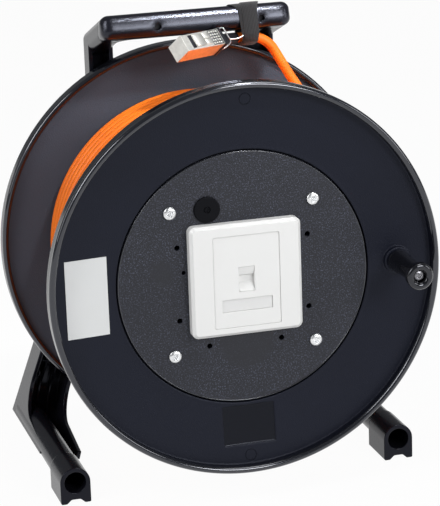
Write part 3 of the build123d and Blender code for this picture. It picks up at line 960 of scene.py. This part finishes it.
@dataclass
class Screws:
    """Pan-head screws of the disc and the head of the knob's pin."""

    disc_head: CrossHead = field(default_factory=lambda: CrossHead(4.75 * MM, 2.6 * MM))
    pin_head: CrossHead = field(default_factory=lambda: CrossHead(3.7 * MM, 1.3 * MM))
    turns: tuple[float, ...] = (0.3, 1.1, 0.75, 0.15)
    pin_turn: float = 0.4

    def build(self) -> None:
        """Makes the heads."""
        zinc = SCREW_ZINC.make()
        for number, turn in enumerate(self.turns, 1):
            mesh = self.disc_head.mesh(front_frame(f"disc_screw_{number}", FACE_Y), turn)
            head = new_piece(f"screw_head_{number}", mesh, zinc, Body.DRUM)
            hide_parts(f"disc_screw_{number}")
        mesh = self.pin_head.mesh(front_frame("crank_pin"), self.pin_turn)
        new_piece("pin_head", mesh, PIN_STEEL.make(), Body.DRUM)

    def dress(self) -> None:
        """Gives the other screws and the washer their metal."""
        dress_nodes(SCREW_ZINC, "axle_screw", "axle_washer")
        dress_nodes(PIN_STEEL, "crank_pin")
        dress_nodes(SUNK_STEEL, "grip_screw_1", "grip_screw_2")


@dataclass
class Outlet:
    """White data outlet on the disc."""

    def dress(self) -> None:
        """Gives the outlet's solids their finishes."""
        dress_nodes(OUTLET_WHITE, "outlet_frame", "outlet_insert", "outlet_shutter")
        dress_nodes(STRIP_CLEAR, "outlet_strip")


@dataclass
class Winding:
    """Outer layer of wound cable over the layers below it."""

    cable_radius: float = 3.9 * MM
    bed_drop: float = 1.6 * MM
    turns: float = 16.0
    steps: int = 120
    sides: int = 14
    wander: float = 0.28 * MM
    sway_fast: float = 5.3 / 4.1
    sway_slow: float = 3.1
    sway_lead: float = 1.3
    drift: float = 2.3 / 3
    bed_steps: int = 96

    def build(self) -> None:
        """Makes the turns as one helical tube with its bed below."""
        low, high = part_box("winding")
        layer = (high.x - low.x) / 2 - self.cable_radius - self.wander
        start = low.y + self.cable_radius
        pitch = (high.y - low.y - 2 * self.cable_radius) / self.turns
        around = angles_round(self.sides)
        mesh = bmesh.new()
        rings = []
        for step in range(int(self.turns * self.steps) + 1):
            turn = step / self.steps
            angle = FULL_TURN * turn
            sway = math.sin(self.sway_fast * angle) + math.sin(self.sway_slow * turn + self.sway_lead)
            radius = layer + self.wander / 2 * sway
            middle_y = start + pitch * turn + self.wander / 2 * math.sin(self.drift * angle)
            out = Vector((math.cos(angle), 0, math.sin(angle)))
            middle = Vector((0, middle_y, AXIS_HEIGHT)) + out * radius
            rings.append([
                middle + out * (self.cable_radius * math.cos(a))
                + Vector((0, self.cable_radius * math.sin(a), 0))
                for a in around
            ])
        skin_rings(mesh, rings)
        bed = layer - self.bed_drop
        barrel_low, barrel_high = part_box("barrel")
        core = (barrel_high.x - barrel_low.x) / 2 + self.wander
        span = high.y - low.y
        profile = [(core, 0.0), (bed, 0.0), (bed, span), (core, span)]
        place = facing(0, high.y, AXIS_HEIGHT)
        skin_rings(mesh, turned_rings(profile, place, self.bed_steps), closed=True)
        piece = new_piece("wound_cable", mesh, ORANGE_JACKET.make(), Body.DRUM)
        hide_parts("winding")


@dataclass
class FreeCord:
    """Free length of cable from the winding up through the strap to the plug's boot."""

    diameter: float = 7.8 * MM
    length: float = 0.152
    points: tuple[Point, ...] = (
        (0.10650, 0.02340, 0.21950),
        (0.10705, 0.02470, 0.24320),
        (0.09785, 0.02600, 0.26310),
        (0.08725, 0.02720, 0.28000),
        (0.07645, 0.02820, 0.29520),
        (0.06244, 0.03040, 0.32096),
        (0.05967, 0.03058, 0.32444),
        (0.05632, 0.03074, 0.32736),
        (0.05250, 0.03087, 0.32964),
        (0.04833, 0.03096, 0.33121),
        (0.04395, 0.03100, 0.33200),
        (0.03955, 0.03100, 0.33200),
        (0.03515, 0.03020, 0.33200),
        (0.03096, 0.02862, 0.33210),
        (0.02450, 0.02470, 0.33228),
    )
    plug_nodes: tuple[str, ...] = ("plug_shell", "plug_latch", "plug_collar", "plug_boot")
    tail_length: float = 8.5 * MM
    tail_radii: tuple[float, float] = (4.7 * MM, 4.2 * MM)
    tail_sides: int = 24

    def build_tail(self, cord: bpy.types.Object) -> None:
        """Makes the boot's soft tail, which follows the cord's own line from its plug end.

        Args:
            cord: The cord's curve.
        """
        bare = bpy.data.objects.new("tail_line", cord.data.copy())
        bare.data.bevel_depth = 0.0
        drawn = bpy.data.meshes.new_from_object(bare)
        line = [vertex.co.copy() for vertex in drawn.vertices][::-1]
        bpy.data.objects.remove(bare)
        bpy.data.meshes.remove(drawn)
        wide, narrow = self.tail_radii
        rings, run = [], 0.0
        for near, far in zip(line, line[1:]):
            if run > self.tail_length:
                break
            radius = wide + (narrow - wide) * run / self.tail_length
            turn = (far - near).to_track_quat("Z", "Y").to_matrix().to_4x4()
            rings += turned_rings([(radius, 0.0)], Matrix.Translation(near) @ turn, self.tail_sides)
            run += (far - near).length
        mesh = bmesh.new()
        skin_rings(mesh, rings)
        new_piece("boot_tail", mesh, BOOT_BLACK.make(), Body.STAND)

    def build(self) -> None:
        """Makes the cord as one smooth curve, and the boot's tail on it."""
        line = [Vector(point) for point in self.points]
        cord = bent_wire("free_cord", line, self.diameter / 2, ORANGE_JACKET)
        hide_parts("cord")
        self.build_tail(cord)


@dataclass(frozen=True)
class Wrap:
    """How one wrap of the strap lies along the grip: it leans and widens round a peak on its way round."""

    peak: float
    spread: float
    shift: float
    lean: float
    half: float
    widening: float

    def at(self, share: float) -> tuple[float, float]:
        """Shift along the grip and half width, at a share of the way round."""
        over = math.exp(-(((share - self.peak) / self.spread) ** 2))
        return self.shift + self.lean * over, self.half + self.widening * over


@dataclass
class Strap:
    """Hook-and-loop strap round the grip and the cable: a first wrap with a second one over it."""

    middle: Point = (0.04025, 0.032, 0.347)
    slope_deg: float = 20.0
    half_width: float = 9.95 * MM
    top: float = 9.45 * MM
    bottom: float = -19.5 * MM
    corner: float = 6.0 * MM
    thickness: float = 0.78 * MM
    lap_gap: float = 0.08 * MM
    corner_steps: int = 8
    grip_gap: float = 0.02 * MM
    edge_shares: Range = (0.3, 0.7)
    crown_share: float = 1.15
    # Over the grip's top the first wrap slants to the left, and the second one leans to the right.
    first: Wrap = Wrap(0.72, 0.16, 0.0, -6.5 * MM, 6.2 * MM, 1.0 * MM)
    second: Wrap = Wrap(0.75, 0.2, 0.6 * MM, 3.0 * MM, 5.6 * MM, 1.9 * MM)

    def loop(self, grow: float) -> list[tuple[Vector, Vector]]:
        """One wrap's line round the grip, from its back down, forward and over the top.

        Args:
            grow: How far it lies outside the innermost line.

        Returns:
            Points on the line, each with its direction outward.
        """
        slope = math.radians(self.slope_deg)
        ahead = Vector((0, -math.cos(slope), math.sin(slope)))
        up = Vector((0, math.sin(slope), math.cos(slope)))
        line = []
        corners = [(-1, -1), (1, -1), (1, 1), (-1, 1)]
        for index, (side, level) in enumerate(corners):
            middle_f = side * (self.half_width - self.corner)
            middle_u = (self.top - self.corner) if level > 0 else (self.bottom + self.corner)
            start = math.pi + index * QUARTER_TURN
            for step in range(self.corner_steps + 1):
                angle = start + QUARTER_TURN * step / self.corner_steps
                out = ahead * math.cos(angle) + up * math.sin(angle)
                point = Vector(self.middle) + ahead * middle_f + up * middle_u + out * (self.corner + grow)
                line.append((point, out))
        return line

    def band(self, mesh: bmesh.types.BMesh, grow: float, wrap: Wrap) -> None:
        """Adds one closed wrap.

        Args:
            mesh: The mesh to add to.
            grow: How far it lies outside the innermost line.
            wrap: How it lies along the grip.
        """
        line = self.loop(grow)
        low, high = self.edge_shares
        rings = []
        for index, (point, out) in enumerate(line):
            shift, half = wrap.at(index / len(line))
            inner = half - self.thickness / 2
            section = [(-half, low), (-inner, 0.0), (inner, 0.0), (half, low), (half, high), (inner, 1.0),
                       (0.0, self.crown_share), (-inner, 1.0), (-half, high)]
            rings.append([
                point + Vector((shift + x, 0, 0)) + out * (height * self.thickness) for x, height in section
            ])
        skin_rings(mesh, rings, closed=True)

    def build(self) -> None:
        """Makes both wraps as one piece."""
        mesh = bmesh.new()
        self.band(mesh, self.grip_gap, self.first)
        self.band(mesh, self.thickness + self.lap_gap, self.second)
        strap = new_piece("strap_wraps", mesh, STRAP_PILE.make(), Body.STAND)
        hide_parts("strap")


@dataclass
class Plug:
    """Shielded plug with its latch block, wire bail and boot.

    Its blocks, pads and wire routes are given in millimetres in the plug's own frame.
    """

    tip: Point = (-0.0231, -0.004, 0.33365)
    rear: Point = (0.0117, 0.017, 0.33265)
    roll_deg: float = 230.0
    face: float = 8.2
    latch_boxes: tuple[Block, ...] = (
        ((-5.0, 8.1, 11.0), (5.0, 9.3, 20.6)),
        ((-5.0, 8.1, 21.2), (-0.4, 9.3, 28.4)),
        ((0.4, 8.1, 21.2), (5.0, 9.3, 28.4)),
    )
    # Two thin black bands across the shell's face; the second lies under the rear pads.
    dark_band_boxes: tuple[Block, ...] = (
        ((-5.6, 8.1, 6.6), (5.6, 8.32, 10.6)),
        ((-6.4, 8.1, 29.2), (6.4, 8.3, 39.8)),
    )
    grid_rows: int = 4
    grid_columns: int = 5
    grid_start: float = 29.8
    grid_pitch: float = 2.45
    grid_pad: float = 1.7
    grid_rise: float = 0.35
    latch_bevel: float = 0.25 * MM
    dark_band_bevel: float = 0.05 * MM
    grid_bevel: float = 0.1 * MM
    bevel_segments: int = 2
    bevel_profile: float = 0.5
    hoop: tuple[Point, ...] = (
        (6.5, 7.5, 42.5), (6.2, 11.0, 44.0), (3.0, 10.0, 45.6), (-1.0, 8.2, 47.2), (-4.6, 7.0, 49.6),
        (-6.6, 4.5, 48.5), (-7.4, 1.0, 44.5), (-7.4, 0.0, 42.5),
    )
    tongue: tuple[Point, ...] = ((-3.6, 7.4, 48.9), (-4.8, 8.2, 51.5), (-5.6, 10.0, 55.5), (-5.2, 12.0, 59.0))
    wire: float = 0.5 * MM

    def place(self) -> Matrix:
        """Works out the plug's own frame from its tip, rear and roll.

        Returns:
            The frame at the tip: x across the latch's face, y out of it and z to the rear.
        """
        axis = (Vector(self.rear) - Vector(self.tip)).normalized()
        level = axis.cross(Vector((0, 0, 1))).normalized()
        roll = math.radians(self.roll_deg)
        across = level * math.cos(roll) + axis.cross(level) * math.sin(roll)
        turn = Matrix((across, axis.cross(across), axis)).transposed().to_4x4()
        return Matrix.Translation(self.tip) @ turn

    def blocks(self, name: str, boxes: Sequence[Block], bevel: float, finish: Finish) -> None:
        """Makes one piece of bevelled blocks on the plug.

        Args:
            name: The piece's name.
            boxes: The blocks' lowest and highest corners in the plug's frame, in millimetres.
            bevel: Width of their bevels.
            finish: Their finish.
        """
        mesh = bmesh.new()
        for low, high in boxes:
            size = (Vector(high) - Vector(low)) * MM
            middle = (Vector(high) + Vector(low)) * (MM / 2)
            place = self.place() @ Matrix.Translation(middle) @ Matrix.Diagonal((*size, 1))
            bmesh.ops.create_cube(mesh, size=1.0, matrix=place)
        bmesh.ops.bevel(mesh, geom=mesh.edges[:], offset=bevel, segments=self.bevel_segments, affect="EDGES",
                        profile=self.bevel_profile)
        new_piece(name, mesh, finish.make(), Body.STAND)

    def grid(self) -> list[Block]:
        """Small pads of the shell's rear.

        Returns:
            Their corners in the plug's frame, in millimetres.
        """
        pads = []
        half = self.grid_pad / 2
        for row in range(self.grid_rows):
            along = self.grid_start + row * self.grid_pitch
            for column in range(self.grid_columns):
                across = (column - (self.grid_columns - 1) / 2) * self.grid_pitch
                low = (across - half, self.face, along)
                pads.append((low, (across + half, self.face + self.grid_rise, along + self.grid_pad)))
        return pads

    def build(self) -> None:
        """Makes the latch block, the thin dark bands, the rear pads and the wire bail."""
        self.blocks("latch_block", self.latch_boxes, self.latch_bevel, PLUG_METAL)
        self.blocks("plug_dark_bands", self.dark_band_boxes, self.dark_band_bevel, BOOT_BLACK)
        self.blocks("plug_pads", self.grid(), self.grid_bevel, PLUG_METAL)
        for name, route in (("bail_hoop", self.hoop), ("bail_tongue", self.tongue)):
            points = [self.place() @ (Vector(point) * MM) for point in route]
            bent_wire(name, points, self.wire, SCREW_ZINC)

    def dress(self) -> None:
        """Gives the plug's solids their finishes."""
        dress_nodes(PLUG_METAL, "plug_shell", "plug_latch")
        dress_nodes(BOOT_BLACK, "plug_boot", "plug_collar")


@dataclass
class Stand:
    """Moulded stand with its grip and axle."""

    def dress(self) -> None:
        """Gives the stand's solids their finishes."""
        dress_nodes(STAND_BLACK, "stand", "axle")
        dress_nodes(GRIP_BLACK, "grip_cover")


# Studio


@dataclass
class Studio:
    """White floor, lamps, even sky and the camera."""

    camera_place: Point = (-0.4632, -1.6753, 0.66475)
    camera_target: Point = (-0.00599, -0.033, 0.18242)
    camera_roll_deg: float = -2.03
    focal_pixels: float = 2321.1
    principal: tuple[float, float] = (217.8, 249.0)
    image: tuple[int, int] = (440, 506)
    sensor: float = 36.0
    clip: Range = (0.05, 50.0)
    floor_size: float = 60.0
    sky: float = 0.2
    sky_colour: Colour = (0.93, 0.96, 1.0)
    floor_colour: Colour = (0.85, 0.85, 0.85)
    floor_glow: float = 0.96
    boxes: tuple[tuple[str, Point, Point, tuple[float, float], float], ...] = (
        ("key_box", (0.85, -2.15, 1.2), REEL_MIDDLE, (0.8, 0.7), 25.0),
        ("left_strip", (-1.75, -0.4, 0.9), REEL_MIDDLE, (0.4, 1.0), 5.0),
        ("left_top_strip", (-1.5, -0.8, 1.4), REEL_MIDDLE, (0.4, 1.0), 13.0),
        ("right_strip", (1.55, -1.1, 0.75), REEL_MIDDLE, (0.4, 0.8), 6.0),
        ("gap_box", (0.3, -0.25, 1.05), (0.03, 0.04, 0.3), (0.4, 0.3), 2.0),
    )
    spot: tuple[str, Point, Point, float, float, float] = (
        "gap_spot", (0.25, -0.5, 1.05), (0.03, 0.06, 0.315), math.radians(21.0), 0.05, 38.0,
    )
    spot_blend: float = 1.0

    def build(self) -> None:
        """Makes the floor, the lights, the sky and the camera."""
        self.make_floor()
        self.make_sky()
        for box in self.boxes:
            self.make_box(*box)
        self.make_spot(*self.spot)
        self.make_camera()
        bpy.context.scene.view_settings.view_transform = "Standard"

    def make_floor(self) -> None:
        """Pale floor, which shows white to the camera and keeps a soft shadow."""
        mesh = bmesh.new()
        bmesh.ops.create_grid(mesh, x_segments=1, y_segments=1, size=self.floor_size / 2)
        data = bpy.data.meshes.new("floor")
        mesh.to_mesh(data)
        mesh.free()
        floor = bpy.data.objects.new("floor", data)
        bpy.context.scene.collection.objects.link(floor)
        paint = Paint(bpy.data.materials.new("floor_white"))
        matt = paint.value("ShaderNodeBsdfDiffuse", inputs={"Color": (*self.floor_colour, 1.0)})
        glow = paint.value("ShaderNodeEmission", inputs={"Color": WHITE, "Strength": 1.0})
        share = paint.seen() * self.floor_glow
        mixed = paint.value("ShaderNodeMixShader", inputs={0: share, 1: matt, 2: glow})
        paint.node("ShaderNodeOutputMaterial", inputs={"Surface": mixed})
        data.materials.append(paint.owner)

    def make_sky(self) -> None:
        """Even pale sky."""
        world = bpy.data.worlds.new("studio_sky")
        paint = Paint(world)
        colour = (*self.sky_colour, 1.0)
        back = paint.value("ShaderNodeBackground", inputs={"Color": colour, "Strength": self.sky})
        paint.node("ShaderNodeOutputWorld", inputs={"Surface": back})
        bpy.context.scene.world = world

    def make_box(self, name: str, place: Point, target: Point, size: Range, power: float) -> None:
        """Hangs one soft box.

        Args:
            name: The lamp's name.
            place: Where it hangs.
            target: What it faces.
            size: Its width and height.
            power: Its power in watts.
        """
        lamp = bpy.data.lights.new(name, "AREA")
        lamp.shape = "RECTANGLE"
        lamp.size, lamp.size_y = size
        self.hang(lamp, place, target, power)

    def make_spot(self, name: str, place: Point, target: Point, cone: float, radius: float,
                  power: float) -> None:
        """Hangs one soft-edged spot.

        Args:
            name: The lamp's name.
            place: Where it hangs.
            target: What it faces.
            cone: The whole angle of its beam.
            radius: Radius of its front.
            power: Its power in watts.
        """
        lamp = bpy.data.lights.new(name, "SPOT")
        lamp.spot_size, lamp.spot_blend, lamp.shadow_soft_size = cone, self.spot_blend, radius
        self.hang(lamp, place, target, power)

    def hang(self, lamp: bpy.types.Light, place: Point, target: Point, power: float) -> None:
        """Puts a lamp in the scene.

        Args:
            lamp: The lamp.
            place: Where it hangs.
            target: What it faces.
            power: Its power in watts.
        """
        lamp.energy = power
        held = bpy.data.objects.new(lamp.name, lamp)
        held.location = place
        held.rotation_euler = (Vector(target) - Vector(place)).to_track_quat("-Z", "Y").to_euler()
        bpy.context.scene.collection.objects.link(held)

    def make_camera(self) -> None:
        """Sets the camera where the photograph was taken from."""
        data = bpy.data.cameras.new("camera")
        width, height = self.image
        long_side = max(width, height)
        data.sensor_width = self.sensor
        data.lens = self.focal_pixels * self.sensor / long_side
        data.shift_x = (width / 2 - self.principal[0]) / long_side
        data.shift_y = (self.principal[1] - height / 2) / long_side
        data.clip_start, data.clip_end = self.clip
        camera = bpy.data.objects.new("camera", data)
        ahead = (Vector(self.camera_target) - Vector(self.camera_place)).normalized()
        right = ahead.cross(Vector((0, 0, 1))).normalized()
        up = right.cross(ahead)
        roll = math.radians(self.camera_roll_deg)
        side = right * math.cos(roll) + up * math.sin(roll)
        turn = Matrix((side, side.cross(ahead), -ahead)).transposed().to_4x4()
        camera.matrix_world = Matrix.Translation(self.camera_place) @ turn
        bpy.context.scene.collection.objects.link(camera)
        bpy.context.scene.camera = camera


def main() -> None:
    """Builds and dresses every sub-assembly in order."""
    logging.basicConfig(level=logging.INFO, format="%(name)s %(message)s")
    Studio().build()
    FreeCord().build()
    Winding().build()
    drum = Drum()
    drum.build()
    drum.dress()
    Knob().build()
    screws = Screws()
    screws.build()
    screws.dress()
    Outlet().dress()
    Strap().build()
    plug = Plug()
    plug.build()
    plug.dress()
    Stand().dress()


if __name__ == "__main__":
    main()
